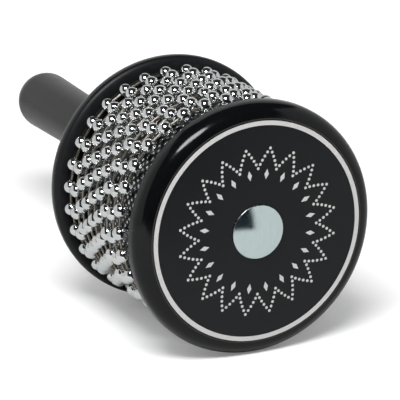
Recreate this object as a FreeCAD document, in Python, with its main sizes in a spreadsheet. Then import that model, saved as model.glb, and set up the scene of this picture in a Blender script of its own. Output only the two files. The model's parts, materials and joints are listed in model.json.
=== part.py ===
import FreeCAD, Part
import math
import os
import Sketcher

# A cabasa: a steel-clad wooden drum between two lacquered discs, with endless
# loops of ball chain that turn round the drum, and a handle held by one bolt.
# Millimetres, +Z up. The drum's axis runs along Y, with the handle towards +Y.
# The instrument lies on the rims of its two discs, and the origin is on that
# surface, under the middle of the overall length.

DIMENSIONS = [
    ("disc_radius", 54.0, "outer radius of both end discs"),
    ("disc_thickness", 10.0, "thickness of an end disc"),
    ("disc_round", 7.0, "round-over of a disc's outer edge"),
    ("disc_inner_edge", 0.8, "small round on the front disc's edge at the drum"),
    ("rear_inner_edge", 2.5, "larger round on the rear disc's edge at the drum"),
    ("drum_length", 74.0, "gap between the discs' inner faces"),
    ("core_radius", 42.1, "radius of the wooden core"),
    ("spigot_radius", 16.0, "radius of the core's locating spigots"),
    ("spigot_length", 3.0, "length of a locating spigot"),
    ("sleeve_wall", 0.6, "thickness of the steel sleeve"),
    ("sleeve_seat", 1.5, "depth of the sleeve's end in a disc"),
    ("sleeve_seam", 0.6, "open angle of the sleeve's butt seam, degrees"),
    ("fit_gap", 0.1, "clearance of spigots and sleeve in the discs"),
    ("bolt_radius", 4.0, "radius of the bolt's shank"),
    ("bolt_hole", 4.25, "radius of the hole for the bolt"),
    ("bolt_reach", 26.0, "length of the bolt's end inside the handle"),
    ("head_radius", 11.45, "radius of the bolt's flat head"),
    ("head_height", 2.4, "height of the bolt's flat head"),
    ("head_seat", 1.9, "depth of the recess under the head"),
    ("head_gap", 0.25, "radial clearance round the head"),
    ("head_edge", 0.5, "round on the head's front edge"),
    ("washer_radius", 8.0, "outer radius of the flat washer"),
    ("washer_height", 1.2, "thickness of the flat washer"),
    ("lock_radius", 7.0, "outer radius of the split lock washer"),
    ("lock_height", 1.8, "thickness of the split lock washer"),
    ("lock_split", 8.0, "open angle of the lock washer, degrees"),
    ("washer_pocket", 8.2, "radius of the washers' pocket"),
    ("insert_radius", 6.0, "outer radius of the threaded insert"),
    ("insert_start", 3.0, "depth of the insert's near end in the handle"),
    ("insert_length", 24.0, "length of the threaded insert"),
    ("insert_flute", 0.5, "depth of a flute in the insert"),
    ("insert_flute_width", 1.0, "width of a flute in the insert"),
    ("handle_length", 140.0, "length of the handle"),
    ("handle_root", 10.6, "handle radius at the disc"),
    ("handle_end", 13.8, "handle radius at its far end"),
    ("handle_dome", 13.2, "round of the handle's far end"),
    ("handle_root_edge", 0.8, "round of the handle's edge at the disc"),
    ("bead_radius", 3.1, "outer radius of a ball"),
    ("bead_wall", 0.35, "wall of the hollow ball"),
    ("bead_hole", 0.95, "radius of the two holes in a ball"),
    ("link_wire", 0.55, "radius of a link's wire"),
    ("link_head", 1.15, "radius of a link's ball end"),
    ("link_head_place", 1.3, "distance of a link's end from the ball's centre"),
    ("bead_count", 31, "balls in one loop"),
    ("loop_radius", 48.5, "mean radius of a loop, to the balls' centres"),
    ("loop_gap", 0.2, "clearance between the rear loop and the rear disc"),
    ("loop_pitch", 6.32, "spacing of the loops along the drum"),
    ("loop_drop", 0.4, "how far the slack lets a loop hang"),
]

# The turn of each loop's first ball about the drum, in degrees, from the front loop back.
LOOP_TURNS = [0.2, 8.1, 7.5, 2.4, 10.0, 5.1, 1.3, 7.4, 7.3]

INSERT_FLUTES = 16
LEAST_FLUTE_SHARE = 0.8
FULL_TURN = 360.0

# Places along the drum's axis, measured in the row's own frame.
HEAD_PROUD = "(Dims.head_height - Dims.head_seat)"
LENGTH = f"({HEAD_PROUD} + 2 * Dims.disc_thickness + Dims.drum_length + Dims.handle_length)"
HEAD_FRONT = f"(-{LENGTH} / 2)"
FRONT_FACE = f"({HEAD_FRONT} + {HEAD_PROUD})"
DRUM_MIDDLE = f"({FRONT_FACE} + Dims.disc_thickness + Dims.drum_length / 2)"
REAR_DISC = f"({DRUM_MIDDLE} + Dims.drum_length / 2)"
HANDLE_ROOT = f"({REAR_DISC} + Dims.disc_thickness)"
REAR_LOOP = f"({REAR_DISC} - Dims.loop_gap - Dims.bead_radius)"

doc = FreeCAD.newDocument("cabasa")


def fill_sheet():
    """Writes every driving dimension into the sheet, one named cell each."""
    sheet = doc.addObject("Spreadsheet::Sheet", "Dims")
    rows = list(DIMENSIONS)
    rows.append(("loop_count", len(LOOP_TURNS), "loops on the drum"))
    for number, turn in enumerate(LOOP_TURNS, start=1):
        rows.append((f"loop_{number:02d}_turn", turn, f"turn of loop {number} about its axis"))
    for number, (alias, value, note) in enumerate(rows, start=1):
        sheet.set(f"A{number}", note)
        sheet.set(f"B{number}", str(value))
        sheet.setAlias(f"B{number}", alias)
    doc.recompute()
    return sheet


sheet = fill_sheet()


def size(alias):
    """A driving dimension as a number."""
    return float(sheet.get(alias))


def new_body(label, along, up="Dims.disc_radius", turn="0"):
    """A body whose own Y axis is its turning axis, placed along the drum's axis."""
    body = doc.addObject("PartDesign::Body", label)
    body.Label = label
    body.AllowCompound = True
    body.Placement = FreeCAD.Placement(
        FreeCAD.Vector(0, 0, 0), FreeCAD.Rotation(FreeCAD.Vector(0, 1, 0), 1.0)
    )
    body.setExpression("Placement.Base.y", along)
    body.setExpression("Placement.Base.z", up)
    body.setExpression("Placement.Rotation.Angle", f"({turn}) * 1 deg")
    return body


def origin_item(body, role):
    """One of the body's own origin planes or axes."""
    return next(item for item in body.Origin.OriginFeatures if item.Role == role)


def new_sketch(body, name, plane):
    """An empty sketch on one of the body's own origin planes."""
    sketch = body.newObject("Sketcher::SketchObject", name)
    sketch.AttachmentSupport = [(origin_item(body, plane), "")]
    sketch.MapMode = "FlatFace"
    return sketch


def bind(sketch, kind, *where, to):
    """Adds one dimension to a sketch and binds it to an expression."""
    number = sketch.addConstraint(Sketcher.Constraint(kind, *where))
    sketch.setExpression(f"Constraints[{number}]", to)


def add_outline(sketch, corners):
    """Draws a closed straight-sided outline whose corners are pairs of expressions."""
    count = len(corners)
    for number in range(count):
        start = FreeCAD.Vector(number, number * number, 0)
        following = (number + 1) % count
        end = FreeCAD.Vector(following, following * following, 0)
        sketch.addGeometry(Part.LineSegment(start, end))
    for number in range(count):
        following = (number + 1) % count
        sketch.addConstraint(Sketcher.Constraint("Coincident", number, 2, following, 1))
    for number, (across, high) in enumerate(corners):
        bind(sketch, "DistanceX", -1, 1, number, 1, 1.0, to=across)
        bind(sketch, "DistanceY", -1, 1, number, 1, 1.0, to=high)


def revolve(body, sketch, name, angle="360"):
    """Turns a sketch about its own horizontal axis."""
    feature = body.newObject("PartDesign::Revolution", name)
    feature.Profile = sketch
    feature.ReferenceAxis = (sketch, ["H_Axis"])
    feature.setExpression("Angle", f"({angle}) * 1 deg")
    body.Tip = feature
    return feature


def turned_body(label, along, corners, angle="360", turn="0"):
    """A body turned from one outline of (place along the axis, radius) corners."""
    body = new_body(label, along, turn=turn)
    sketch = new_sketch(body, label + "_outline", "YZ_Plane")
    add_outline(sketch, corners)
    revolve(body, sketch, label + "_turned", angle)
    doc.recompute()
    return body


def round_edge(body, name, radius, edge_radius, edge_place):
    """Rounds the one circular edge of the given radius and place along the axis."""
    base = body.Tip
    near = 0.01
    found = []
    for number, edge in enumerate(base.Shape.Edges, start=1):
        if not isinstance(edge.Curve, Part.Circle):
            continue
        same_radius = abs(edge.Curve.Radius - edge_radius) < near
        same_place = abs(edge.Curve.Center.y - edge_place) < near
        if same_radius and same_place:
            found.append(f"Edge{number}")
    if len(found) != 1:
        raise RuntimeError(f"{body.Label}: {len(found)} edges for {name}")
    fillet = body.newObject("PartDesign::Fillet", name)
    fillet.Base = (base, found)
    fillet.setExpression("Radius", radius)
    body.Tip = fillet
    doc.recompute()


def polar_copies(body, feature, name, count):
    """Repeats a feature evenly round the body's Y axis."""
    pattern = body.newObject("PartDesign::PolarPattern", name)
    pattern.Originals = [feature]
    pattern.Axis = (origin_item(body, "Y_Axis"), [""])
    pattern.Angle = FULL_TURN
    pattern.setExpression("Occurrences", count)
    body.Tip = pattern
    doc.recompute()


def make_front_disc():
    """The front disc: bolt recess in front, spigot recess and sleeve groove behind."""
    inner = "Dims.disc_thickness"
    groove = "Dims.disc_thickness - Dims.sleeve_seat - Dims.fit_gap"
    recess = "Dims.disc_thickness - Dims.spigot_length - Dims.fit_gap"
    groove_in = "Dims.core_radius - Dims.fit_gap"
    groove_out = "Dims.core_radius + Dims.sleeve_wall + Dims.fit_gap"
    spigot = "Dims.spigot_radius + Dims.fit_gap"
    head = "Dims.head_radius + Dims.head_gap"
    body = turned_body("front_disc", FRONT_FACE, [
        ("Dims.head_seat", "Dims.bolt_hole"),
        ("Dims.head_seat", head),
        ("0", head),
        ("0", "Dims.disc_radius"),
        (inner, "Dims.disc_radius"),
        (inner, groove_out),
        (groove, groove_out),
        (groove, groove_in),
        (inner, groove_in),
        (inner, spigot),
        (recess, spigot),
        (recess, "Dims.bolt_hole"),
    ])
    rim = size("disc_radius")
    round_edge(body, "front_disc_round", "Dims.disc_round", rim, 0.0)
    round_edge(body, "front_disc_edge", "Dims.disc_inner_edge", rim, size("disc_thickness"))


def make_rear_disc():
    """The rear disc: spigot recess and sleeve groove in front, washer pocket behind."""
    outer = "Dims.disc_thickness"
    groove = "Dims.sleeve_seat + Dims.fit_gap"
    recess = "Dims.spigot_length + Dims.fit_gap"
    groove_in = "Dims.core_radius - Dims.fit_gap"
    groove_out = "Dims.core_radius + Dims.sleeve_wall + Dims.fit_gap"
    spigot = "Dims.spigot_radius + Dims.fit_gap"
    pocket = "Dims.disc_thickness - Dims.washer_height - Dims.lock_height"
    body = turned_body("rear_disc", REAR_DISC, [
        (recess, "Dims.bolt_hole"),
        (recess, spigot),
        ("0", spigot),
        ("0", groove_in),
        (groove, groove_in),
        (groove, groove_out),
        ("0", groove_out),
        ("0", "Dims.disc_radius"),
        (outer, "Dims.disc_radius"),
        (outer, "Dims.washer_pocket"),
        (pocket, "Dims.washer_pocket"),
        (pocket, "Dims.bolt_hole"),
    ])
    rim = size("disc_radius")
    round_edge(body, "rear_disc_round", "Dims.disc_round", rim, size("disc_thickness"))
    round_edge(body, "rear_disc_edge", "Dims.rear_inner_edge", rim, 0.0)


def make_core():
    """The wooden core, with a locating spigot at each end and the bolt's hole."""
    half = "Dims.drum_length / 2"
    tip = "(Dims.drum_length / 2 + Dims.spigot_length)"
    turned_body("wood_core", DRUM_MIDDLE, [
        ("-" + tip, "Dims.bolt_hole"),
        ("-" + tip, "Dims.spigot_radius"),
        ("-" + half, "Dims.spigot_radius"),
        ("-" + half, "Dims.core_radius"),
        (half, "Dims.core_radius"),
        (half, "Dims.spigot_radius"),
        (tip, "Dims.spigot_radius"),
        (tip, "Dims.bolt_hole"),
    ])


def make_sleeve():
    """The steel sleeve, a rolled sheet whose butt seam faces down."""
    reach = "(Dims.drum_length / 2 + Dims.sleeve_seat)"
    outside = "Dims.core_radius + Dims.sleeve_wall"
    turned_body("steel_sleeve", DRUM_MIDDLE, [
        ("-" + reach, "Dims.core_radius"),
        ("-" + reach, outside),
        (reach, outside),
        (reach, "Dims.core_radius"),
    ], angle="360 - Dims.sleeve_seam", turn="180 - Dims.sleeve_seam / 2")


def make_bolt():
    """The centre bolt, with a wide flat head that shows in front."""
    tip = f"{HANDLE_ROOT} + Dims.bolt_reach - {HEAD_FRONT}"
    body = turned_body("centre_bolt", HEAD_FRONT, [
        ("0", "0"),
        ("0", "Dims.head_radius"),
        ("Dims.head_height", "Dims.head_radius"),
        ("Dims.head_height", "Dims.bolt_radius"),
        (tip, "Dims.bolt_radius"),
        (tip, "0"),
    ])
    round_edge(body, "centre_bolt_edge", "Dims.head_edge", size("head_radius"), 0.0)


def make_washers():
    """The flat washer and the split lock washer, sunk in the rear disc."""
    turned_body("flat_washer", f"{HANDLE_ROOT} - Dims.lock_height - Dims.washer_height", [
        ("0", "Dims.bolt_hole"),
        ("0", "Dims.washer_radius"),
        ("Dims.washer_height", "Dims.washer_radius"),
        ("Dims.washer_height", "Dims.bolt_hole"),
    ])
    turned_body("lock_washer", f"{HANDLE_ROOT} - Dims.lock_height", [
        ("0", "Dims.bolt_hole"),
        ("0", "Dims.lock_radius"),
        ("Dims.lock_height", "Dims.lock_radius"),
        ("Dims.lock_height", "Dims.bolt_hole"),
    ], angle="360 - Dims.lock_split")


def make_handle():
    """The moulded handle, which widens towards its domed end."""
    insert_end = "Dims.insert_start + Dims.insert_length"
    body = turned_body("handle", HANDLE_ROOT, [
        ("0", "Dims.bolt_hole"),
        ("0", "Dims.handle_root"),
        ("Dims.handle_length", "Dims.handle_end"),
        ("Dims.handle_length", "0"),
        (insert_end, "0"),
        (insert_end, "Dims.insert_radius"),
        ("Dims.insert_start", "Dims.insert_radius"),
        ("Dims.insert_start", "Dims.bolt_hole"),
    ])
    round_edge(body, "handle_dome", "Dims.handle_dome", size("handle_end"), size("handle_length"))
    round_edge(body, "handle_root_edge", "Dims.handle_root_edge", size("handle_root"), 0.0)


def make_insert():
    """The threaded insert moulded into the handle, with flutes that stop it turning."""
    body = turned_body("handle_insert", f"{HANDLE_ROOT} + Dims.insert_start", [
        ("0", "Dims.bolt_radius"),
        ("0", "Dims.insert_radius"),
        ("Dims.insert_length", "Dims.insert_radius"),
        ("Dims.insert_length", "Dims.bolt_radius"),
    ])
    whole = body.Shape.Volume
    sketch = new_sketch(body, "insert_flute_outline", "XZ_Plane")
    side = "Dims.insert_flute_width / 2"
    bottom = "Dims.insert_radius - Dims.insert_flute"
    top = "Dims.insert_radius + Dims.insert_flute"
    add_outline(sketch, [("-" + side, bottom), (side, bottom), (side, top), ("-" + side, top)])
    flute = body.newObject("PartDesign::Pocket", "insert_flute_cut")
    flute.Profile = sketch
    flute.Type = "Length"
    flute.setExpression("Length", "Dims.insert_length")
    body.Tip = flute
    doc.recompute()
    polar_copies(body, flute, "insert_flutes", str(INSERT_FLUTES))
    cut = whole - body.Shape.Volume
    one_flute = size("insert_flute") * size("insert_flute_width") * size("insert_length")
    if cut < LEAST_FLUTE_SHARE * INSERT_FLUTES * one_flute:
        raise RuntimeError("the insert's flutes are not cut to their full depth")


def make_beads(label, along, up, turn):
    """The hollow balls of one loop, each with two holes that the links pass through."""
    body = new_body(label, along, up, turn)
    sketch = new_sketch(body, label + "_outline", "XZ_Plane")
    sketch.setExpression("AttachmentOffset.Base.y", "Dims.loop_radius")
    outer = size("bead_radius")
    inner = outer - size("bead_wall")
    hole = size("bead_hole")
    centre = FreeCAD.Vector(0, 0, 0)
    axis = FreeCAD.Vector(0, 0, 1)
    ends = {}
    for number, wall in enumerate((outer, inner)):
        reach = (wall ** 2 - hole ** 2) ** 0.5
        right = FreeCAD.Vector(reach, hole, 0)
        left = FreeCAD.Vector(-reach, hole, 0)
        circle = Part.Circle(centre, axis, wall)
        arc = Part.ArcOfCircle(circle, circle.parameter(right), circle.parameter(left))
        sketch.addGeometry(arc)
        sketch.addConstraint(Sketcher.Constraint("Coincident", number, 3, -1, 1))
        ends[number] = (right, left)
    for side, point in ((0, 1), (1, 2)):
        line = sketch.addGeometry(Part.LineSegment(ends[0][side], ends[1][side]))
        sketch.addConstraint(Sketcher.Constraint("Coincident", 0, point, line, 1))
        sketch.addConstraint(Sketcher.Constraint("Coincident", 1, point, line, 2))
        sketch.addConstraint(Sketcher.Constraint("Horizontal", line))
        bind(sketch, "DistanceY", -1, 1, line, 1, hole, to="Dims.bead_hole")
    bind(sketch, "Radius", 0, outer, to="Dims.bead_radius")
    bind(sketch, "Radius", 1, inner, to="Dims.bead_radius - Dims.bead_wall")
    ball = revolve(body, sketch, label + "_ball")
    doc.recompute()
    polar_copies(body, ball, label + "_round", "Dims.bead_count")


def make_links(label, along, up, turn):
    """The double-headed links of one loop, each held captive by two balls."""
    half_step = "180 / Dims.bead_count"
    body = new_body(label, along, up, f"{turn} + {half_step}")
    sketch = new_sketch(body, label + "_outline", "XZ_Plane")
    middle_radius = f"Dims.loop_radius * cos({half_step} * 1 deg)"
    sketch.setExpression("AttachmentOffset.Base.y", middle_radius)
    half_chord = f"Dims.loop_radius * sin({half_step} * 1 deg)"
    wire = size("link_wire")
    head = size("link_head")
    place = size("loop_radius") * math.pi / size("bead_count") - size("link_head_place")
    neck = place - (head ** 2 - wire ** 2) ** 0.5
    axis = FreeCAD.Vector(0, 0, 1)
    for side in (1, -1):
        circle = Part.Circle(FreeCAD.Vector(side * place, 0, 0), axis, head)
        tip = circle.parameter(FreeCAD.Vector(side * (place + head), 0, 0))
        root = circle.parameter(FreeCAD.Vector(side * neck, wire, 0))
        first, last = (tip, root) if side == 1 else (root, tip)
        sketch.addGeometry(Part.ArcOfCircle(circle, first, last))
    right_neck = FreeCAD.Vector(neck, wire, 0)
    left_neck = FreeCAD.Vector(-neck, wire, 0)
    right_tip = FreeCAD.Vector(place + head, 0, 0)
    left_tip = FreeCAD.Vector(-place - head, 0, 0)
    sketch.addGeometry(Part.LineSegment(right_neck, left_neck))
    sketch.addGeometry(Part.LineSegment(left_tip, right_tip))
    joins = ((0, 2, 2, 1), (2, 2, 1, 1), (1, 2, 3, 1), (3, 2, 0, 1))
    for first, first_end, second, second_end in joins:
        sketch.addConstraint(Sketcher.Constraint("Coincident", first, first_end, second, second_end))
    sketch.addConstraint(Sketcher.Constraint("Horizontal", 2))
    sketch.addConstraint(Sketcher.Constraint("PointOnObject", 0, 3, -1))
    sketch.addConstraint(Sketcher.Constraint("PointOnObject", 1, 3, -1))
    sketch.addConstraint(Sketcher.Constraint("PointOnObject", 0, 1, -1))
    sketch.addConstraint(Sketcher.Constraint("PointOnObject", 1, 2, -1))
    bind(sketch, "DistanceX", -1, 1, 0, 3, place, to=f"{half_chord} - Dims.link_head_place")
    bind(sketch, "DistanceX", 1, 3, -1, 1, place, to=f"{half_chord} - Dims.link_head_place")
    bind(sketch, "Radius", 0, head, to="Dims.link_head")
    bind(sketch, "Radius", 1, head, to="Dims.link_head")
    bind(sketch, "DistanceY", -1, 1, 2, 1, wire, to="Dims.link_wire")
    link = revolve(body, sketch, label + "_link")
    doc.recompute()
    polar_copies(body, link, label + "_round", "Dims.bead_count")


def make_loop(number):
    """One endless loop of ball chain, hanging a little low; the loops sit together at the rear."""
    name = f"loop_{number:02d}"
    along = f"{REAR_LOOP} - (Dims.loop_count - {number}) * Dims.loop_pitch"
    up = "Dims.disc_radius - Dims.loop_drop"
    turn = f"Dims.{name}_turn"
    make_beads(name + "_beads", along, up, turn)
    make_links(name + "_links", along, up, turn)


def check_and_export():
    """Stops on any failed object or shape, then writes one file for each body."""
    doc.recompute()
    failed = []
    for item in doc.Objects:
        if "Invalid" in item.State or "Error" in item.State:
            failed.append(item.Label)
    bodies = [item for item in doc.Objects if item.TypeId == "PartDesign::Body"]
    for body in bodies:
        if body.Shape.isNull() or not body.Shape.isValid():
            failed.append(body.Label)
    if failed:
        raise RuntimeError("failed: " + ", ".join(failed))
    os.makedirs("parts", exist_ok=True)
    for body in bodies:
        body.Shape.exportStep(f"parts/{body.Label}.step")
        box = body.Shape.BoundBox
        print(
            f"{body.Label:16s} solids {len(body.Shape.Solids):3d}"
            f"  volume {body.Shape.Volume:10.1f}"
            f"  y {box.YMin:7.2f} {box.YMax:7.2f}  z {box.ZMin:7.2f} {box.ZMax:7.2f}"
        )


make_front_disc()
make_rear_disc()
make_core()
make_sleeve()
make_bolt()
make_washers()
make_handle()
make_insert()
for number in range(1, len(LOOP_TURNS) + 1):
    make_loop(number)
check_and_export()
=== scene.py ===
import json
import math
import random

import bmesh
import bpy
import numpy as np
from mathutils import Matrix, Vector


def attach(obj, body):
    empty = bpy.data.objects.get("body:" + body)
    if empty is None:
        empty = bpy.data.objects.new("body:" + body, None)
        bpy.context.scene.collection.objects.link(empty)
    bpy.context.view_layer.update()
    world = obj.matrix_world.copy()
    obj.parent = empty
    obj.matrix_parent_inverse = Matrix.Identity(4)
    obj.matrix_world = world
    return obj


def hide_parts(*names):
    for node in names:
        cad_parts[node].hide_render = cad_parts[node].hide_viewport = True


# A cabasa: a drum clad in textured steel between two black discs, with loops of
# steel ball chain that turn round it, and a straight handle. Metres, +Z up. The
# drum's axis runs along Y, with the handle towards +Y, and it lies on z = 0.

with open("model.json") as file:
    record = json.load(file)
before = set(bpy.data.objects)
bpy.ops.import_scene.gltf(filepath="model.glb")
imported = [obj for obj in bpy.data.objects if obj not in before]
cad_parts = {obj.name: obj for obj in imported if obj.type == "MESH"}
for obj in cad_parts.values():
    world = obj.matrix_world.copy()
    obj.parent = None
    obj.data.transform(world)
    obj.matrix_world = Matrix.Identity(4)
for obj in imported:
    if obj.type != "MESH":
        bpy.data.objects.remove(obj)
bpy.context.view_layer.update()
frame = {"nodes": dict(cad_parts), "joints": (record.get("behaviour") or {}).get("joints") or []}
MM = 0.001
TURN = 2 * math.pi
CHANCE = random.Random(7)


# ---------------------------------------------------------------- the frame's sizes

def node_points(node):
    """The places of a CAD node's vertices at rest, one row each."""
    mesh = frame["nodes"][node].data
    flat = np.empty(len(mesh.vertices) * 3, np.float32)
    mesh.vertices.foreach_get("co", flat)
    return flat.reshape(-1, 3).astype(float)


def node_box(node):
    """The lowest and highest corner of a CAD node, as two rows."""
    points = node_points(node)
    return points.min(0), points.max(0)


def width_radius(node):
    """Half of a turned CAD node's width across the axis."""
    valley_shade, high = node_box(node)
    return (high[0] - valley_shade[0]) / 2


DISC_LOW, DISC_HIGH = node_box("front_disc")
REAR_LOW, REAR_HIGH = node_box("rear_disc")
BOLT_LOW, BOLT_HIGH = node_box("centre_bolt")
HANDLE_END = node_box("handle")[1][1]
SLEEVE_LOW, SLEEVE_HIGH = node_box("steel_sleeve")
AXIS_Z = (DISC_LOW[2] + DISC_HIGH[2]) / 2
DISC_RADIUS = (DISC_HIGH[0] - DISC_LOW[0]) / 2
FRONT_FACE = DISC_LOW[1]
DRUM_FRONT = DISC_HIGH[1]
DRUM_REAR = REAR_LOW[1]
HANDLE_ROOT = REAR_HIGH[1]
HEAD_FRONT = BOLT_LOW[1]
BOLT_END = BOLT_HIGH[1]
HEAD_RADIUS = width_radius("centre_bolt")
HANDLE_RADIUS = width_radius("handle")
SLEEVE_RADIUS = width_radius("steel_sleeve")
CORE_RADIUS = width_radius("wood_core")
INSERT_RADIUS = width_radius("handle_insert")
DRUM_MIDDLE = (DRUM_FRONT + DRUM_REAR) / 2
LOOP_JOINTS = {joint["child"]: joint for joint in frame["joints"]}

# Sizes of details that the CAD holds inside, or that only the looks have.
DISC_ROUND = 7.0 * MM
FRONT_INNER_EDGE = 0.8 * MM
REAR_INNER_EDGE = 2.5 * MM
SCRIBE_RADIUS = 47.7 * MM
HEAD_HEIGHT = 2.4 * MM
HEAD_SEAT = 1.9 * MM
HEAD_GAP = 0.25 * MM
HEAD_EDGE = 0.22 * MM
BOLT_RADIUS = 4.0 * MM
BOLT_HOLE = 4.25 * MM
SPIGOT_RADIUS = 16.1 * MM
SPIGOT_DEPTH = 3.1 * MM
GROOVE_DEPTH = 1.6 * MM
GROOVE_GAP = 0.1 * MM
WASHER_POCKET = 8.2 * MM
WASHER_DEPTH = 3.0 * MM
HANDLE_ROOT_RADIUS = 10.6 * MM
HANDLE_DOME = 13.2 * MM
HANDLE_ROOT_EDGE = 0.8 * MM
INSERT_START = 3.0 * MM
INSERT_LENGTH = 24.0 * MM
BALLS_IN_LOOP = 31
BALL_WALL = 0.35 * MM
BALL_HOLE = 0.95 * MM
BALL_LIP = 0.12 * MM
BALL_SEAM = 0.04 * MM
LINK_WIRE = 0.55 * MM
LINK_HEAD = 1.15 * MM
LINK_HEAD_PLACE = 1.3 * MM
BUMP_HEIGHT = 0.45 * MM
BUMP_PITCH = 4.2 * MM
BUMP_SHARPNESS = 1.2
PRINT_THICKNESS = 0.04 * MM
PRINT_SUNK = 0.01 * MM
ARC_STEP = math.radians(9)
FINE_ARC_STEP = math.radians(4.5)


# ---------------------------------------------------------------- mesh code

def rounded(corners, arc_step=ARC_STEP):
    """Points of an outline of (along, radius, round) corners, each round drawn as an arc."""
    points = []
    count = len(corners)
    for number, (along, radius, size) in enumerate(corners):
        corner = Vector((along, radius))
        if size <= 0:
            points.append(corner)
            continue
        before = Vector(corners[number - 1][:2]) - corner
        after = Vector(corners[(number + 1) % count][:2]) - corner
        before.normalize()
        after.normalize()
        half = before.angle(after) / 2
        centre = corner + (before + after).normalized() * size / math.sin(half)
        start = corner + before * size / math.tan(half) - centre
        end = corner + after * size / math.tan(half) - centre
        sweep = start.angle_signed(end)
        steps = max(2, math.ceil(abs(sweep) / arc_step))
        for step in range(steps + 1):
            turned = start.copy()
            turned.rotate(Matrix.Rotation(-sweep * step / steps, 2))
            points.append(centre + turned)
    return [(point.x, point.y) for point in points]


def turned_shape(profile, angles):
    """Vertices and faces of a profile of (along, radius) points turned about the Y axis.
    A profile that starts and ends on the axis is closed there; any other is a closed ring."""
    on_axis = profile[0][1] < 1e-9 and profile[-1][1] < 1e-9
    verts, rings, faces = [], [], []
    for along, radius in profile:
        if radius < 1e-9:
            rings.append([len(verts)] * len(angles))
            verts.append((0.0, along, 0.0))
            continue
        rings.append(list(range(len(verts), len(verts) + len(angles))))
        verts.extend((radius * math.sin(a), along, radius * math.cos(a)) for a in angles)
    pairs = list(zip(rings, rings[1:]))
    if not on_axis:
        pairs.append((rings[-1], rings[0]))
    for valley_shade, high in pairs:
        for number in range(len(angles)):
            following = (number + 1) % len(angles)
            corners = [valley_shade[number], valley_shade[following], high[following], high[number]]
            faces.append(tuple(dict.fromkeys(corners)))
    return np.array(verts), faces


def even_angles(count):
    """Evenly spaced angles round a full turn."""
    return [TURN * number / count for number in range(count)]


def outward(mesh):
    """Turns the faces of closed shells so that they all face outwards."""
    work = bmesh.new()
    work.from_mesh(mesh)
    bmesh.ops.recalc_face_normals(work, faces=work.faces)
    work.to_mesh(mesh)
    work.free()


def make_piece(name, verts, faces, body, finish, sharp=30):
    """A named mesh piece that rides on a body and takes its finish from a slot."""
    mesh = bpy.data.meshes.new(name)
    mesh.from_pydata([tuple(v) for v in verts], [], faces)
    outward(mesh)
    for polygon in mesh.polygons:
        polygon.use_smooth = True
    mesh.set_sharp_from_angle(angle=math.radians(sharp))
    mesh.materials.append(finish)
    piece = bpy.data.objects.new(name, mesh)
    bpy.context.scene.collection.objects.link(piece)
    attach(piece, body)
    return piece


def turned_piece(name, corners, finish, segments=192, arc_step=ARC_STEP):
    """A piece of the fixed body, turned about the drum's axis from an outline of corners."""
    verts, faces = turned_shape(rounded(corners, arc_step), even_angles(segments))
    verts[:, 2] += AXIS_Z
    return make_piece(name, verts, faces, "root", finish)


def many(shape, places):
    """One shape repeated at (rotation, position) places, as one set of vertices and faces."""
    verts, faces = shape
    all_verts, all_faces = [], []
    for rotation, position in places:
        start = len(all_verts) * len(verts)
        all_verts.append(verts @ rotation.T + position)
        all_faces.extend(tuple(start + index for index in face) for face in faces)
    return np.concatenate(all_verts), all_faces


# ---------------------------------------------------------------- finishes

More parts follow.
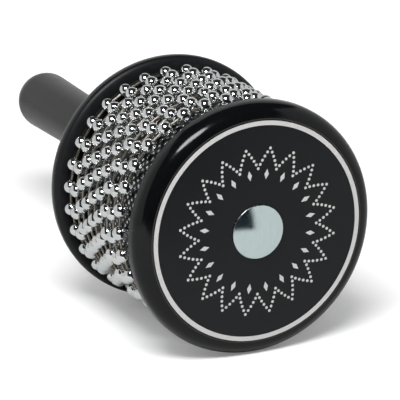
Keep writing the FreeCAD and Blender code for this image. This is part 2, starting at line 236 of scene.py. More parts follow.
class Finish:
    """A procedural material, with short calls that add and join its nodes."""

    def __init__(self, name, **fixed):
        self.material = bpy.data.materials.new(name)
        self.material.use_nodes = True
        self.tree = self.material.node_tree
        self.shader = self.tree.nodes["Principled BSDF"]
        for socket, value in fixed.items():
            self.shader.inputs[socket.replace("_", " ")].default_value = value
        self.place = self.tree.nodes.new("ShaderNodeTexCoord").outputs["Object"]
        axes = self.add("ShaderNodeSeparateXYZ", {"Vector": self.place})
        self.along = axes.outputs["Y"]
        lift = self.calc("SUBTRACT", axes.outputs["Z"], float(AXIS_Z))
        across = self.calc("MULTIPLY", axes.outputs["X"], axes.outputs["X"])
        self.radius = self.calc("SQRT", self.calc("MULTIPLY_ADD", lift, lift, across))
        self.angle = self.calc("ARCTAN2", axes.outputs["X"], lift)

    def put(self, socket, value):
        """Sets a socket to a number or colour, or joins it to another socket."""
        if isinstance(value, bpy.types.NodeSocket):
            self.tree.links.new(value, socket)
        else:
            socket.default_value = value

    def add(self, kind, inputs=None, **settings):
        """A new node with its settings and inputs."""
        node = self.tree.nodes.new(kind)
        for key, value in settings.items():
            setattr(node, key, value)
        for socket, value in (inputs or {}).items():
            self.put(node.inputs[socket], value)
        return node

    def calc(self, operation, *values):
        """The result of one Math node."""
        node = self.add("ShaderNodeMath", operation=operation)
        for number, value in enumerate(values):
            self.put(node.inputs[number], value)
        return node.outputs[0]

    def spread(self, value, valley_shade, high, to_low=0.0, to_high=1.0, smooth=False):
        """The value carried from one range to another, and clamped there."""
        kind = "SMOOTHSTEP" if smooth else "LINEAR"
        node = self.add("ShaderNodeMapRange", interpolation_type=kind, clamp=True)
        limits = {"From Min": valley_shade, "From Max": high, "To Min": to_low, "To Max": to_high}
        for socket, limit in limits.items():
            self.put(node.inputs[socket], limit)
        self.put(node.inputs["Value"], value)
        return node.outputs["Result"]

    def away(self, value, middle):
        """How far the value is from a fixed number, whichever side it is on."""
        return self.calc("ABSOLUTE", self.calc("SUBTRACT", value, float(middle)))

    def noise(self, size, detail=3.0, rough=0.5, place=None):
        """Cloudy noise from 0 to 1, whose cells are about the given size across."""
        vector = place or self.place
        inputs = {"Vector": vector, "Scale": 1 / size, "Detail": detail, "Roughness": rough}
        return self.add("ShaderNodeTexNoise", inputs).outputs["Fac"]

    def stretched(self, x, y, z):
        """The object's own coordinates, stretched along each axis."""
        node = self.add("ShaderNodeVectorMath", {0: self.place, 1: (x, y, z)}, operation="MULTIPLY")
        return node.outputs["Vector"]

    def mix(self, share, first, second):
        """A mix of two colours."""
        node = self.add("ShaderNodeMix", data_type="RGBA")
        self.put(node.inputs["Factor"], share)
        for socket, value in (("A", first), ("B", second)):
            found = [item for item in node.inputs if item.name == socket and item.type == "RGBA"]
            self.put(found[0], value)
        return next(item for item in node.outputs if item.type == "RGBA")

    def colour(self, value):
        """Sets the base colour."""
        self.put(self.shader.inputs["Base Color"], value)

    def rough(self, value):
        """Sets the roughness."""
        self.put(self.shader.inputs["Roughness"], value)

    def relief(self, *layers):
        """Bump from (height, depth in metres) layers, one on top of the other."""
        normal = None
        for height, depth in layers:
            inputs = {"Height": height, "Distance": depth, "Strength": 1.0}
            node = self.add("ShaderNodeBump", inputs)
            if normal is not None:
                self.put(node.inputs["Normal"], normal)
            normal = node.outputs["Normal"]
        self.put(self.shader.inputs["Normal"], normal)


def grey(level, warm=0.0):
    """A grey colour, warmer above 0 and cooler below."""
    return (level * (1 + warm), level, level * (1 - warm), 1.0)


def lacquer_finish():
    """Black lacquer over turned wood: glossy on the rounds and satin on the flats, with the rounds
    painted darker than the flats as painted shade.
    """
    front_fade, rear_fade, fade_start = 0.35 * MM, 3.5 * MM, 0.03 * MM
    gloss_start, gloss_full = DISC_RADIUS - 9 * MM, DISC_RADIUS - 6 * MM
    groove_half, worn_width, line_pitch = 0.35 * MM, 0.55 * MM, 0.62 * MM
    drum_side_rough, face_rough, gloss_rough, worn_rough = 0.50, 0.34, 0.10, 0.40
    cool = -0.16
    finish = Finish("disc_lacquer_finish", Specular_IOR_Level=0.28)
    off_front = finish.spread(finish.away(finish.along, DRUM_FRONT), fade_start, front_fade)
    off_rear = finish.spread(finish.away(finish.along, DRUM_REAR), fade_start, rear_fade)
    off_drum = finish.calc("MINIMUM", off_front, off_rear)
    shoulder = finish.spread(finish.radius, gloss_start, gloss_full)
    glossy = finish.calc("MULTIPLY", shoulder, off_drum)
    cloud = finish.noise(14 * MM, 4.0)
    # Painted shade: one lacquer in two tones, the glossy rounds coloured darker than the satin
    # flats.
    satin_black = finish.mix(cloud, grey(0.0050, cool), grey(0.0068, cool))
    gloss_shaded_black = finish.mix(cloud, grey(0.0022, cool), grey(0.0036, cool))
    black = finish.mix(glossy, satin_black, gloss_shaded_black)
    dust = finish.spread(finish.noise(0.7 * MM, 2.0), 0.66, 0.78)
    dusty = finish.mix(finish.calc("MULTIPLY", dust, 0.3), black, grey(0.03))
    off_groove = finish.away(finish.radius, SCRIBE_RADIUS)
    groove = finish.spread(off_groove, 0.0, groove_half, smooth=True)
    # Painted highlight: a pale warm line coloured along the scribe groove, for the light the groove
    # catches.
    scribe_highlighted = finish.mix(groove, grey(0.035, 0.12), dusty)
    rim = finish.spread(finish.radius, DISC_RADIUS - worn_width, DISC_RADIUS)
    scuff = finish.spread(finish.noise(2.2 * MM, 5.0, 0.65), 0.60, 0.70)
    worn = finish.calc("MULTIPLY", rim, scuff)
    finish.colour(finish.mix(worn, scribe_highlighted, grey(0.03, 0.03)))
    patchy = finish.spread(finish.noise(3 * MM, 5.0, 0.6), 0.3, 0.7, 0.0, 0.05)
    flat = finish.spread(off_drum, 0.0, 1.0, drum_side_rough, face_rough)
    base = finish.calc("ADD", patchy, finish.spread(glossy, 0.0, 1.0, flat, gloss_rough))
    finish.rough(finish.spread(worn, 0.0, 1.0, base, worn_rough))
    lines = finish.calc("SINE", finish.calc("MULTIPLY", finish.radius, TURN / line_pitch))
    turned = finish.calc("MULTIPLY", lines, finish.calc("MULTIPLY", glossy, finish.noise(5 * MM)))
    grain = finish.noise(0.9 * MM, 2.0)
    finish.relief((turned, 0.004 * MM), (grain, 0.005 * MM), (groove, 0.12 * MM))
    return finish.material


def print_finish():
    """Pale screen-printed ink, slightly mottled."""
    finish = Finish("print_ink_finish", Specular_IOR_Level=0.3)
    mottle = finish.noise(0.8 * MM, 4.0)
    finish.colour(finish.mix(mottle, grey(0.50, 0.01), grey(0.66, 0.01)))
    finish.rough(finish.spread(finish.noise(0.5 * MM), 0.3, 0.7, 0.45, 0.65))
    finish.relief((finish.noise(0.25 * MM, 3.0), 0.008 * MM))
    return finish.material


def bolt_finish():
    """Bright zinc plating, slightly bluish, mottled and faintly streaked from handling."""
    edge_start, edge_full = HEAD_RADIUS - 0.3 * MM, HEAD_RADIUS - 0.1 * MM
    speck_rough, edge_rough, least_rough, most_rough = 0.16, 0.22, 0.035, 0.060
    finish = Finish("plated_bolt_finish", Metallic=1.0)
    cloud = finish.noise(3.5 * MM, 5.0, 0.6)
    streak = finish.noise(1.1 * MM, 5.0, 0.7, place=finish.stretched(1.0, 1.0, 0.25))
    zinc = finish.mix(cloud, (0.53, 0.655, 0.66, 1), (0.69, 0.775, 0.77, 1))
    share = finish.spread(streak, 0.35, 0.75, 0.0, 0.45)
    finish.colour(finish.mix(share, zinc, (0.50, 0.60, 0.60, 1)))
    speck = finish.spread(finish.noise(0.45 * MM, 3.0, 0.7), 0.60, 0.72, 0.0, speck_rough)
    edge = finish.spread(finish.radius, edge_start, edge_full, 0.0, edge_rough)
    satin = finish.spread(finish.noise(1.2 * MM, 4.0), 0.3, 0.7, least_rough, most_rough)
    finish.rough(finish.calc("ADD", edge, finish.calc("ADD", speck, satin)))
    pits = finish.spread(finish.noise(0.22 * MM, 2.0), 0.25, 0.6)
    finish.relief((cloud, 0.005 * MM), (pits, 0.0012 * MM))
    return finish.material


def handle_finish():
    """Smooth matte moulded plastic, with a very fine grain and a faint handling sheen."""
    finish = Finish(
        "handle_plastic_finish",
        Specular_IOR_Level=0.42, Sheen_Weight=0.05, Sheen_Roughness=0.35,
    )
    cloud = finish.noise(18 * MM, 3.0)
    finish.colour(finish.mix(cloud, grey(0.008), grey(0.010)))
    finish.rough(finish.spread(finish.noise(6 * MM, 5.0), 0.3, 0.7, 0.27, 0.33))
    finish.relief((finish.noise(0.45 * MM, 2.0), 0.012 * MM))
    return finish.material


def ball_finish():
    """Polished nickel, with faint smudges and dents, and a slight difference from ball to ball."""
    finish = Finish("bead_nickel_finish", Metallic=1.0)
    each = finish.add("ShaderNodeNewGeometry").outputs["Random Per Island"]
    finish.colour(finish.mix(each, (0.70, 0.725, 0.725, 1), (0.765, 0.78, 0.775, 1)))
    finish.rough(finish.spread(finish.noise(1.6 * MM, 4.0, 0.6), 0.45, 0.75, 0.055, 0.12))
    finish.relief((finish.noise(1.9 * MM, 2.0), 0.018 * MM))
    return finish.material


def link_finish():
    """Drawn wire, nickel plated, a little warmer and rougher than the balls, and coloured much
    darker than them as painted shade in the gaps between the balls.
    """
    finish = Finish("link_wire_finish", Metallic=1.0)
    cloud = finish.noise(1.5 * MM, 4.0)
    # Painted shade: the wires are coloured far darker than plated wire, for the shade between the
    # balls.
    finish.colour(finish.mix(cloud, (0.17, 0.15, 0.125, 1), (0.36, 0.325, 0.275, 1)))
    finish.rough(finish.spread(finish.noise(0.6 * MM, 3.0), 0.3, 0.7, 0.24, 0.36))
    finish.relief((finish.noise(0.3 * MM, 2.0), 0.01 * MM))
    return finish.material


def sleeve_finish():
    """Stainless sheet with a raised texture: a painted highlight on the tops and painted shade in
    the valleys, and the tops smoother than the valleys.
    """
    finish = Finish("textured_steel_finish", Metallic=1.0)
    top_start = SLEEVE_RADIUS + 0.35 * BUMP_HEIGHT
    top_full = SLEEVE_RADIUS + 0.8 * BUMP_HEIGHT
    valley_rough, top_rough = 0.30, 0.14
    top = finish.spread(finish.radius, top_start, top_full)
    # Painted shade and highlight: the valleys are coloured near black, varied in a cloud, and the
    # tops are coloured bright.
    valley_cloud = finish.noise(4 * MM, 5.0, 0.6)
    valley_shade = finish.mix(valley_cloud, grey(0.008, -0.02), grey(0.060, -0.02))
    finish.colour(finish.mix(top, valley_shade, grey(0.80, -0.02)))
    finish.rough(finish.spread(top, 0.0, 1.0, valley_rough, top_rough))
    finish.relief((finish.noise(0.25 * MM, 3.0), 0.012 * MM))
    return finish.material


def wood_finish():
    """Bare hardwood with its grain along the drum's axis, and turning marks."""
    finish = Finish("core_wood_finish", Specular_IOR_Level=0.25)
    grain = finish.stretched(1.0, 0.06, 1.0)
    waves = {"Vector": grain, "Scale": 55.0, "Distortion": 7.0, "Detail": 3.0, "Detail Scale": 1.5}
    rings = finish.add("ShaderNodeTexWave", waves, wave_type="RINGS", rings_direction="Y")
    fibre = finish.noise(0.7 * MM, 4.0, place=grain)
    wood = finish.mix(rings.outputs["Fac"], (0.50, 0.33, 0.18, 1), (0.33, 0.19, 0.09, 1))
    finish.colour(finish.mix(finish.calc("MULTIPLY", fibre, 0.45), wood, (0.2, 0.11, 0.05, 1)))
    finish.rough(finish.spread(fibre, 0.3, 0.7, 0.55, 0.75))
    finish.relief((fibre, 0.05 * MM))
    return finish.material


def plain_metal_finish(name, dull, bright, lines):
    """Turned or stamped metal with fine tool lines across its axis."""
    finish = Finish(name, Metallic=1.0)
    cloud = finish.noise(2 * MM, 5.0, 0.6)
    finish.colour(finish.mix(cloud, dull, bright))
    finish.rough(finish.spread(finish.noise(0.8 * MM, 3.0), 0.3, 0.7, 0.22, 0.38))
    tool = finish.calc("SINE", finish.calc("MULTIPLY", finish.radius, TURN / lines))
    finish.relief((tool, 0.004 * MM), (finish.noise(0.3 * MM, 3.0), 0.006 * MM))
    return finish.material


# ---------------------------------------------------------------- the fixed pieces

def make_front_disc(finish):
    """The front disc: a bolt recess in front, a spigot recess and the sleeve's groove behind."""
    inner = DRUM_FRONT
    hollow = HEAD_RADIUS + HEAD_GAP
    groove_in, groove_out = CORE_RADIUS - GROOVE_GAP, SLEEVE_RADIUS + GROOVE_GAP
    disc = turned_piece("front_disc_lacquered", [
        (FRONT_FACE + HEAD_SEAT, BOLT_HOLE, 0),
        (FRONT_FACE + HEAD_SEAT, hollow, 0.2 * MM),
        (FRONT_FACE, hollow, 0.15 * MM),
        (FRONT_FACE, DISC_RADIUS, DISC_ROUND),
        (inner, DISC_RADIUS, FRONT_INNER_EDGE),
        (inner, groove_out, 0),
        (inner - GROOVE_DEPTH, groove_out, 0),
        (inner - GROOVE_DEPTH, groove_in, 0),
        (inner, groove_in, 0),
        (inner, SPIGOT_RADIUS, 0),
        (inner - SPIGOT_DEPTH, SPIGOT_RADIUS, 0),
        (inner - SPIGOT_DEPTH, BOLT_HOLE, 0),
    ], finish, segments=256, arc_step=FINE_ARC_STEP)
    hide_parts("front_disc")


def make_rear_disc(finish):
    """The rear disc: the same outside turned round, with a pocket for the washers behind."""
    groove_in, groove_out = CORE_RADIUS - GROOVE_GAP, SLEEVE_RADIUS + GROOVE_GAP
    disc = turned_piece("rear_disc_lacquered", [
        (DRUM_REAR + SPIGOT_DEPTH, BOLT_HOLE, 0),
        (DRUM_REAR + SPIGOT_DEPTH, SPIGOT_RADIUS, 0),
        (DRUM_REAR, SPIGOT_RADIUS, 0),
        (DRUM_REAR, groove_in, 0),
        (DRUM_REAR + GROOVE_DEPTH, groove_in, 0),
        (DRUM_REAR + GROOVE_DEPTH, groove_out, 0),
        (DRUM_REAR, groove_out, 0),
        (DRUM_REAR, DISC_RADIUS, REAR_INNER_EDGE),
        (HANDLE_ROOT, DISC_RADIUS, DISC_ROUND),
        (HANDLE_ROOT, WASHER_POCKET, 0),
        (HANDLE_ROOT - WASHER_DEPTH, WASHER_POCKET, 0),
        (HANDLE_ROOT - WASHER_DEPTH, BOLT_HOLE, 0),
    ], finish, segments=256, arc_step=FINE_ARC_STEP)
    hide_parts("rear_disc")


def make_bolt(finish):
    """The centre bolt: a flat head with a rolled edge, and a shank threaded at its far end."""
    pitch, depth, thread_length = 1.25 * MM, 0.65 * MM, 30 * MM
    tip = BOLT_END
    start = tip - thread_length
    count, steps = 96, 9
    head = rounded([
        (HEAD_FRONT, 0.0, 0),
        (HEAD_FRONT, HEAD_RADIUS, HEAD_EDGE),
        (HEAD_FRONT + HEAD_HEIGHT, HEAD_RADIUS, 0.3 * MM),
        (HEAD_FRONT + HEAD_HEIGHT, BOLT_RADIUS, 0.0),
        (start, BOLT_RADIUS, 0),
    ])
    rows = round(thread_length / pitch * steps)
    thread = [(start + thread_length * (row + 1) / rows, BOLT_RADIUS) for row in range(rows)]
    angles = even_angles(count)
    verts, faces = turned_shape(head + thread + [(tip, 0.0)], angles)
    radii = np.hypot(verts[:, 0], verts[:, 2])
    turn = np.arctan2(verts[:, 0], verts[:, 2]) / TURN
    phase = np.abs(((verts[:, 1] - start) / pitch - turn) % 1.0 - 0.5) * 2
    grow = np.clip((verts[:, 1] - start) / (2 * pitch), 0, 1)
    taper = np.clip((verts[:, 1] - tip + pitch) / pitch, 0, 1)
    threaded = (radii > BOLT_RADIUS / 2) & (verts[:, 1] > start)
    cut = depth * grow * np.maximum(phase, taper) * threaded
    share = 1 - cut / np.maximum(radii, BOLT_RADIUS)
    verts[:, 0] *= share
    verts[:, 2] *= share
    verts[:, 2] += AXIS_Z
    bolt = make_piece("centre_bolt_plated", verts, faces, "root", finish)
    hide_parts("centre_bolt")


def make_handle(finish):
    """The moulded handle, wider towards its domed end, with the insert's pocket inside."""
    insert = HANDLE_ROOT + INSERT_START
    handle = turned_piece("handle_moulded", [
        (HANDLE_END, 0.0, 0),
        (HANDLE_END, HANDLE_RADIUS, HANDLE_DOME),
        (HANDLE_ROOT, HANDLE_ROOT_RADIUS, HANDLE_ROOT_EDGE),
        (HANDLE_ROOT, BOLT_HOLE, 0),
        (insert, BOLT_HOLE, 0),
        (insert, INSERT_RADIUS, 0),
        (insert + INSERT_LENGTH, INSERT_RADIUS, 0),
        (insert + INSERT_LENGTH, 0.0, 0),
    ], finish, segments=160, arc_step=math.radians(3))
    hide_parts("handle")


def make_sleeve(finish):
    """The steel sleeve with its raised lozenges, rolled round the core with a butt seam below."""
    around, rows = 560, 150
    seam = math.radians(0.3)
    valley_shade, high = SLEEVE_LOW[1], SLEEVE_HIGH[1]
    plain_end = 2.2 * MM
    span = TURN - 2 * seam
    lozenges = round(TURN * SLEEVE_RADIUS / BUMP_PITCH)
    turns = math.pi + seam + span * np.arange(around) / (around - 1)
    places = np.linspace(valley_shade, high, rows)
    turn, place = np.meshgrid(turns, places)
    u = turn / TURN * lozenges
    v = place / BUMP_PITCH
    waves = np.abs(np.sin(math.pi * (u + v)) * np.sin(math.pi * (u - v)))
    edge = np.clip(np.minimum(place - valley_shade - plain_end, high - plain_end - place) / MM, 0, 1)
    radius = SLEEVE_RADIUS + BUMP_HEIGHT * edge * waves ** BUMP_SHARPNESS
    across, up = np.sin(turn), np.cos(turn)
    outer = np.stack([radius * across, place, radius * up], -1).reshape(-1, 3)
    inner = np.stack([CORE_RADIUS * across, place, CORE_RADIUS * up], -1).reshape(-1, 3)
    verts = np.concatenate([outer, inner])
    verts[:, 2] += AXIS_Z
    faces = []
    shell = rows * around
    for row in range(rows - 1):
        for step in range(around - 1):
            a = row * around + step
            faces.append((a, a + 1, a + around + 1, a + around))
            faces.append((shell + a + around, shell + a + around + 1, shell + a + 1, shell + a))
        for a in (row * around, row * around + around - 1):
            faces.append((a, a + around, shell + a + around, shell + a))
    for step in range(around - 1):
        for a in (step, shell - around + step):
            faces.append((a, a + 1, shell + a + 1, shell + a))
    sleeve = make_piece("steel_sleeve_textured", verts, faces, "root", finish)
    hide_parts("steel_sleeve")


# ---------------------------------------------------------------- the print on the front disc

def flat_shape(outline, thickness):
    """A thin raised shape with a flat outline of (x, z) points, in front of y = 0."""
    count = len(outline)
    verts = [(x, -thickness, z) for x, z in outline] + [(x, 0.0, z) for x, z in outline]
    faces = [tuple(range(count)), tuple(range(2 * count - 1, count - 1, -1))]
    for number in range(count):
        following = (number + 1) % count
        faces.append((number, number + count, following + count, following))
    return np.array(verts), faces


def face_place(radius, angle):
    """A (rotation, position) place on the front face: angle 0 is right, a quarter turn is up."""
    out = angle - math.pi / 2
    rotation = np.array(Matrix.Rotation(-out, 3, "Y"))
    across, up = radius * math.cos(angle), radius * math.sin(angle)
    return rotation, np.array([across, FRONT_FACE + PRINT_SUNK, AXIS_Z + up])


def make_print(finish):
    """The printed ring, and a plain band of dots and lozenges inside it."""
    ring_in, ring_out = 45.1 * MM, 47.0 * MM
    back = FRONT_FACE + PRINT_SUNK
    front = FRONT_FACE - PRINT_THICKNESS + PRINT_SUNK
    turned_piece("printed_ring", [
        (back, ring_in, 0),
        (front, ring_in, 0),
        (front, ring_out, 0),
        (back, ring_out, 0),
    ], finish, segments=256)

    dot_radius, dot_sides = 0.62 * MM, 12
    zigzag_in, zigzag_out = 27.0 * MM, 35.5 * MM
    bends, dots_between = 40, 5
    corners = even_angles(dot_sides)
    outline = [(dot_radius * math.cos(a), dot_radius * math.sin(a)) for a in corners]
    places = []
    for bend in range(bends):
        for step in range(dots_between):
            share = step / dots_between
            part = share if bend % 2 == 0 else 1 - share
            radius = zigzag_in + (zigzag_out - zigzag_in) * part
            places.append(face_place(radius, TURN * (bend + share) / bends))
    verts, faces = many(flat_shape(outline, PRINT_THICKNESS), places)
    make_piece("printed_zigzag", verts, faces, "root", finish)

    wide, tall, lozenge_place = 1.0 * MM, 2.2 * MM, 24.5 * MM
    outline = [(wide, 0), (0, tall), (-wide, 0), (0, -tall)]
    count = bends // 2
    places = [face_place(lozenge_place, TURN * (number + 0.5) / count) for number in range(count)]
    verts, faces = many(flat_shape(outline, PRINT_THICKNESS), places)
    make_piece("printed_lozenges", verts, faces, "root", finish)


# ---------------------------------------------------------------- the loops of ball chain

def ball_shape(radius):
    """One hollow ball about its hole's axis, with rolled lips at the holes and a fine seam."""
    lip = BALL_HOLE + BALL_LIP
    edge = math.asin(lip / radius)
    steps = 15
    profile = []
    for step in range(steps + 1):
        polar = edge + (math.pi - 2 * edge) * step / steps
        profile.append((-radius * math.cos(polar), radius * math.sin(polar)))
    inner = radius - BALL_WALL
    mouth = math.sqrt(radius ** 2 - lip ** 2) - BALL_LIP
    profile.append((mouth, BALL_HOLE))
    inner_edge = math.asin(BALL_HOLE / inner)
    inner_steps = 6
    for step in range(inner_steps + 1):
        polar = math.pi - inner_edge - (math.pi - 2 * inner_edge) * step / inner_steps
        profile.append((-inner * math.cos(polar), inner * math.sin(polar)))
    profile.append((-mouth, BALL_HOLE))
    groove = 0.012
    count = 26
    angles = [0.0, groove, 3 * groove] + [TURN * n / count for n in range(1, count)]
    angles += [TURN - 3 * groove, TURN - groove]
    verts, faces = turned_shape(profile, angles)
    distance = np.linalg.norm(verts, axis=1)
    turn = np.arctan2(verts[:, 0], verts[:, 2])
    on_seam = (np.abs(turn) < groove / 2) & (distance > radius - BALL_WALL / 2)
    verts[on_seam] *= ((distance - BALL_SEAM) / distance)[on_seam, None]
    return verts, faces


def link_shape(half_chord):
    """One double-headed link: a straight wire with a rounded end inside each ball."""
    place = half_chord - LINK_HEAD_PLACE
    neck = place - math.sqrt(LINK_HEAD ** 2 - LINK_WIRE ** 2)
    start = math.asin(LINK_WIRE / LINK_HEAD)
    arc = []
    steps = 7
    for step in range(steps + 1):
        polar = start + (math.pi - start) * step / steps
        arc.append((place - LINK_HEAD * math.cos(polar), LINK_HEAD * math.sin(polar)))
    arc[0] = (neck, LINK_WIRE)
    arc[-1] = (place + LINK_HEAD, 0.0)
    profile = [(-along, radius) for along, radius in reversed(arc)] + arc
    return turned_shape(profile, even_angles(14))


def loop_place(angle, centre, radius, roll):
    """A (rotation, position) place on a loop, with the shape's own Y axis along the chain."""
    tangent = np.array([math.cos(angle), 0.0, -math.sin(angle)])
    out = np.array([math.sin(angle), 0.0, math.cos(angle)])
    side = np.cross(tangent, out)
    rotation = np.stack([side, tangent, out], 1) @ np.array(Matrix.Rotation(roll, 3, "Y"))
    return rotation, centre + radius * out


def make_loop(loop, ball_material, link_material):
    """One endless loop of ball chain, placed and turned as its CAD balls are."""
    centre = np.array(LOOP_JOINTS[loop]["pos_m"])
    points = node_points(loop + "_beads") - centre
    ball_radius = (points[:, 1].max() - points[:, 1].min()) / 2
    reach = np.hypot(points[:, 0], points[:, 2])
    radius = (reach.max() + reach.min()) / 2
    turns = np.arctan2(points[:, 0], points[:, 2]) * BALLS_IN_LOOP
    phase = math.atan2(np.sin(turns).mean(), np.cos(turns).mean()) / BALLS_IN_LOOP
    step = TURN / BALLS_IN_LOOP
    ball_places = []
    link_places = []
    for number in range(BALLS_IN_LOOP):
        angle = phase + number * step
        ball_places.append(loop_place(angle, centre, radius, CHANCE.uniform(0, TURN)))
        flat = radius * math.cos(step / 2)
        link_places.append(loop_place(angle + step / 2, centre, flat, CHANCE.uniform(0, TURN)))
    verts, faces = many(ball_shape(ball_radius), ball_places)
    balls = make_piece(loop + "_balls", verts, faces, loop, ball_material, sharp=50)
    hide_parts(loop + "_beads")
    verts, faces = many(link_shape(radius * math.sin(step / 2)), link_places)
    links = make_piece(loop + "_wires", verts, faces, loop, link_material)
    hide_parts(loop + "_links")


# ---------------------------------------------------------------- camera and studio

CAMERA_AZIMUTH = math.radians(-25.78)
CAMERA_ELEVATION = math.radians(17.53)
CAMERA_DISTANCE = 23.52 * DISC_RADIUS
CAMERA_LENS = 270.5
CAMERA_SIDEWAYS = -0.0597 * DISC_RADIUS
CAMERA_UPWARDS = 0.0047 * DISC_RADIUS
FLOOR_HALF = 4.0
FLOOR_ALBEDO = 0.62
FLOOR_SEEN_ALBEDO = 0.90
FLOOR_GLOW_NEAR, FLOOR_GLOW_FAR = 0.18, 1.0
FLOOR_GLOW_FROM, FLOOR_GLOW_TO = 0.15, 1.5
SHEET_LEVEL = 0.66
SHEET_AWAY = 0.9
SHEET_BACK = -1.35
SHEET_TOP = 1.0
SHEET_FRONT_TOP = 0.15
LEFT_SHEET_FRONT = 1.00
RIGHT_SHEET_FRONT = 0.70
BACK_SHEET_TOP = 1.95
DARK_LEVEL = 0.018
DARK_BLUE = 0.4
DARK_HEIGHT = 0.5 * MM
DARK_CORNER = Vector((0.0755, -0.273, DARK_HEIGHT))
DARK_LEFTWARDS = Vector((-0.90, -0.435, 0)) * FLOOR_HALF
DARK_FORWARDS = Vector((0.37, -0.93, 0)) * FLOOR_HALF
ROOM_COLOUR = (0.035, 0.035, 0.036, 1)
NEAR = Vector((math.sin(CAMERA_AZIMUTH), -math.cos(CAMERA_AZIMUTH), 0.0))
SIDE = Vector((math.cos(CAMERA_AZIMUTH), math.sin(CAMERA_AZIMUTH), 0.0))


def studio_point(side, near, height):
    """A point measured from under the drum: to the camera's right, towards the camera, and up."""
    return Vector((0, DRUM_MIDDLE, 0)) + SIDE * side + NEAR * near + Vector((0, 0, height))


def add_camera():
    """The camera, at the photographed viewing angle."""
    data = bpy.data.cameras.new("camera")
    data.sensor_width = 36.0
    data.lens = CAMERA_LENS
    data.clip_start = 0.05
    data.clip_end = 50.0
    camera = bpy.data.objects.new("camera", data)
    back = NEAR * math.cos(CAMERA_ELEVATION) + Vector((0, 0, math.sin(CAMERA_ELEVATION)))
    up = back.cross(SIDE)
    target = Vector((0, DRUM_MIDDLE, AXIS_Z)) + SIDE * CAMERA_SIDEWAYS + up * CAMERA_UPWARDS
    camera.location = target + back * CAMERA_DISTANCE
    camera.rotation_mode = "QUATERNION"
    camera.rotation_quaternion = Matrix((SIDE, up, back)).transposed().to_quaternion()
    bpy.context.scene.collection.objects.link(camera)
    bpy.context.scene.camera = camera


def studio_sheet(name, corners, material, only_reflected=True):
    """A flat sheet of the studio, which the camera itself may not see."""
    mesh = bpy.data.meshes.new(name)
    mesh.from_pydata([tuple(corner) for corner in corners], [], [tuple(range(len(corners)))])
    mesh.materials.append(material)
    sheet = bpy.data.objects.new(name, mesh)
    bpy.context.scene.collection.objects.link(sheet)
    if only_reflected:
        sheet.visible_camera = False
        sheet.visible_shadow = False
    return sheet


def glow(name, level, blue=0.0):
    """A plain glowing material, a little bluish if asked."""
    material = bpy.data.materials.new(name)
    material.use_nodes = True
    nodes = material.node_tree.nodes
    nodes.remove(nodes["Principled BSDF"])
    emission = nodes.new("ShaderNodeEmission")
    emission.inputs["Color"].default_value = grey(level, -blue)
    material.node_tree.links.new(emission.outputs[0], nodes["Material Output"].inputs["Surface"])
    return material


def floor_material():
    """Pale matte floor. The camera sees it brighter than the part does, and brighter far off."""
    material = bpy.data.materials.new("floor_white")
    material.use_nodes = True
    tree = material.node_tree
    shader = tree.nodes["Principled BSDF"]
    shader.inputs["Roughness"].default_value = 0.9
    shader.inputs["Specular IOR Level"].default_value = 0.0
    shader.inputs["Emission Color"].default_value = (1, 1, 1, 1)
    seen = tree.nodes.new("ShaderNodeLightPath").outputs["Is Camera Ray"]
    distance = tree.nodes.new("ShaderNodeVectorMath")
    distance.operation = "LENGTH"
    place = tree.nodes.new("ShaderNodeTexCoord").outputs["Object"]
    tree.links.new(place, distance.inputs[0])

    def ranged(value, **limits):
        """The output of a Map Range node with the given limits."""
        node = tree.nodes.new("ShaderNodeMapRange")
        tree.links.new(value, node.inputs["Value"])
        for limit, number in limits.items():
            node.inputs[limit.replace("_", " ")].default_value = number
        return node

    far = ranged(
        distance.outputs["Value"],
        From_Min=FLOOR_GLOW_FROM, From_Max=FLOOR_GLOW_TO,
        To_Min=FLOOR_GLOW_NEAR, To_Max=FLOOR_GLOW_FAR,
    )
    albedo = ranged(seen, To_Min=FLOOR_ALBEDO, To_Max=FLOOR_SEEN_ALBEDO)
    lift = ranged(seen, To_Min=0.0)
    tree.links.new(far.outputs["Result"], lift.inputs["To Max"])
    tree.links.new(albedo.outputs["Result"], shader.inputs["Base Color"])
    tree.links.new(lift.outputs["Result"], shader.inputs["Emission Strength"])
    return material


def add_world():
    """A dark room behind the studio's sheets; the camera sees a pale backdrop instead."""
    world = bpy.data.worlds.new("studio")
    bpy.context.scene.world = world
    world.use_nodes = True
    tree = world.node_tree
    background = tree.nodes["Background"]
    path = tree.nodes.new("ShaderNodeLightPath")
    mix = tree.nodes.new("ShaderNodeMix")
    mix.data_type = "RGBA"
    first, second, result = mix.inputs[6], mix.inputs[7], mix.outputs[2]
    first.default_value = ROOM_COLOUR
    second.default_value = (1, 1, 1, 1)
    tree.links.new(path.outputs["Is Camera Ray"], mix.inputs["Factor"])
    tree.links.new(result, background.inputs["Color"])


def add_softbox(name, place, width, height, energy):
    """One oval softbox aimed at the drum."""
    data = bpy.data.lights.new(name, "AREA")
    data.shape = "ELLIPSE"
    data.size = width
    data.size_y = height
    data.energy = energy
    light = bpy.data.objects.new(name, data)
    light.location = place
    aim = studio_point(0, 0, AXIS_Z) - light.location
    light.rotation_mode = "QUATERNION"
    light.rotation_quaternion = aim.to_track_quat("-Z", "Y")
    bpy.context.scene.collection.objects.link(light)
    return light


def side_sheet(name, side, front, material):
    """An upright white sheet beside the part, cut off slantwise at its front."""
    studio_sheet(name, [
        studio_point(side, front, 0.0),
        studio_point(side, SHEET_FRONT_TOP, SHEET_TOP),
        studio_point(side, SHEET_BACK, SHEET_TOP),
        studio_point(side, SHEET_BACK, 0.0),
    ], material)


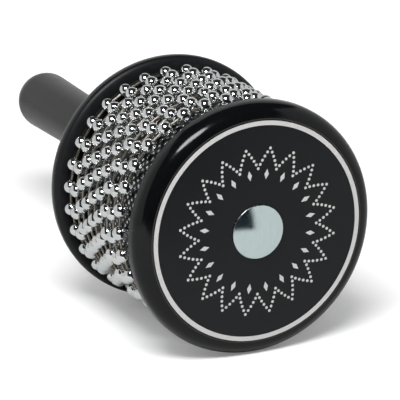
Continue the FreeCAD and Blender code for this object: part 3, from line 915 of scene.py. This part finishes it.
def build_studio():
    """Pale floor, soft side and back sheets, two softboxes, and a dark sheet on the floor in front
    that shows only in reflections, as a painted dark reflection.
    """
    bpy.context.scene.view_settings.view_transform = "Standard"
    half = FLOOR_HALF
    studio_sheet("floor", [
        (-half, -half, 0), (half, -half, 0), (half, half, 0), (-half, half, 0),
    ], floor_material(), only_reflected=False)
    white = glow("sheet_white", SHEET_LEVEL)
    side_sheet("left_sheet", -SHEET_AWAY, LEFT_SHEET_FRONT, white)
    side_sheet("right_sheet", SHEET_AWAY, RIGHT_SHEET_FRONT, white)
    studio_sheet("back_sheet", [
        studio_point(-SHEET_AWAY, SHEET_BACK, 0.0), studio_point(SHEET_AWAY, SHEET_BACK, 0.0),
        studio_point(SHEET_AWAY, SHEET_BACK, BACK_SHEET_TOP),
        studio_point(-SHEET_AWAY, SHEET_BACK, BACK_SHEET_TOP),
    ], white)
    # Painted dark reflection: a dim bluish glowing sheet on the floor in front, hidden from the
    # camera, from diffuse light and from shadows, so it shows only in reflections.
    dark_reflection_sheet = studio_sheet("dark_reflection_sheet", [
        DARK_CORNER,
        DARK_CORNER + DARK_LEFTWARDS,
        DARK_CORNER + DARK_LEFTWARDS + DARK_FORWARDS,
        DARK_CORNER + DARK_FORWARDS,
    ], glow("dark_reflection_glow", DARK_LEVEL, blue=DARK_BLUE))
    dark_reflection_sheet.visible_diffuse = False
    add_world()
    key_place = studio_point(side=-0.11, near=0.72, height=1.02)
    add_softbox("key_softbox", key_place, width=0.60, height=0.42, energy=13.0)
    wide_place = studio_point(side=-0.15, near=0.60, height=1.05)
    wide = add_softbox("wide_softbox", wide_place, width=1.6, height=1.2, energy=7.0)
    wide.visible_glossy = False


# ---------------------------------------------------------------- the whole

def main():
    """Builds every piece, the camera and the studio."""
    lacquer = lacquer_finish()
    make_front_disc(lacquer)
    make_rear_disc(lacquer)
    make_bolt(bolt_finish())
    make_handle(handle_finish())
    make_sleeve(sleeve_finish())
    make_print(print_finish())
    washer = plain_metal_finish("washer_steel_finish", grey(0.42), grey(0.58), 0.5 * MM)
    dull_brass, bright_brass = (0.62, 0.45, 0.2, 1), (0.8, 0.62, 0.32, 1)
    brass = plain_metal_finish("insert_brass_finish", dull_brass, bright_brass, 0.4 * MM)
    kept = {
        "wood_core": wood_finish(),
        "flat_washer": washer,
        "lock_washer": washer,
        "handle_insert": brass,
    }
    for node, finish in kept.items():
        frame["nodes"][node].material_slots[0].material = finish
    balls, links = ball_finish(), link_finish()
    for loop in sorted(LOOP_JOINTS):
        make_loop(loop, balls, links)
    build_studio()
    add_camera()


main()
